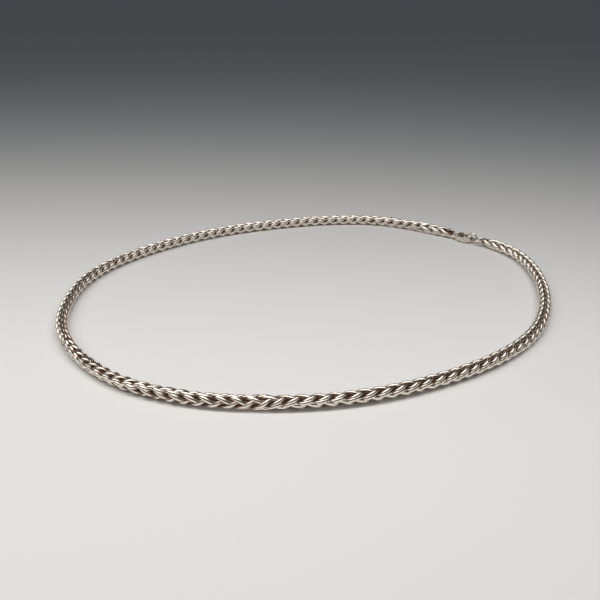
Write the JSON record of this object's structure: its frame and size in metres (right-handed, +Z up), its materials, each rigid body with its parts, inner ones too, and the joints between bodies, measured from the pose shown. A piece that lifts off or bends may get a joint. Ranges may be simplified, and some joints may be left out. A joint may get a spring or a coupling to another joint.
{
  "type": "wheat chain",
  "caption": "Thick round wheat chain of slanted doubled wire links, lying as one open loop and closed at the back by a small lobster clasp between round jump rings.",
  "frame": {"origin": "on the surface that the chain lies on, under the middle of the loop", "axes": "+Z up, +Y towards the back of the loop where the clasp is, +X to the loop's right as seen from its front"},
  "size_m": [0.1518, 0.1486, 0.0041],
  "materials": {
    "chain_silver": "polished silver, dark in the gaps between the links",
    "ring_silver": "polished silver",
    "clasp_silver": "polished silver"
  },
  "bodies": {
    "necklace": {"wheat_chain": "chain_silver", "tail_ring": "ring_silver", "clasp_body": "clasp_silver", "clasp_pin": "clasp_silver", "hook_ring": "ring_silver", "head_ring": "ring_silver"},
    "lever": {"clasp_lever": "clasp_silver"}
  },
  "joints": [
    {"name": "lever_hinge", "type": "hinge", "parent": "necklace", "child": "lever", "pos_m": [0.05553, 0.0522, 0.0014], "axis": [0, 0, 1], "range_deg": [0, 22], "stiffness_Nm_per_rad": 0.006, "springref_deg": -20.05}
  ]
}
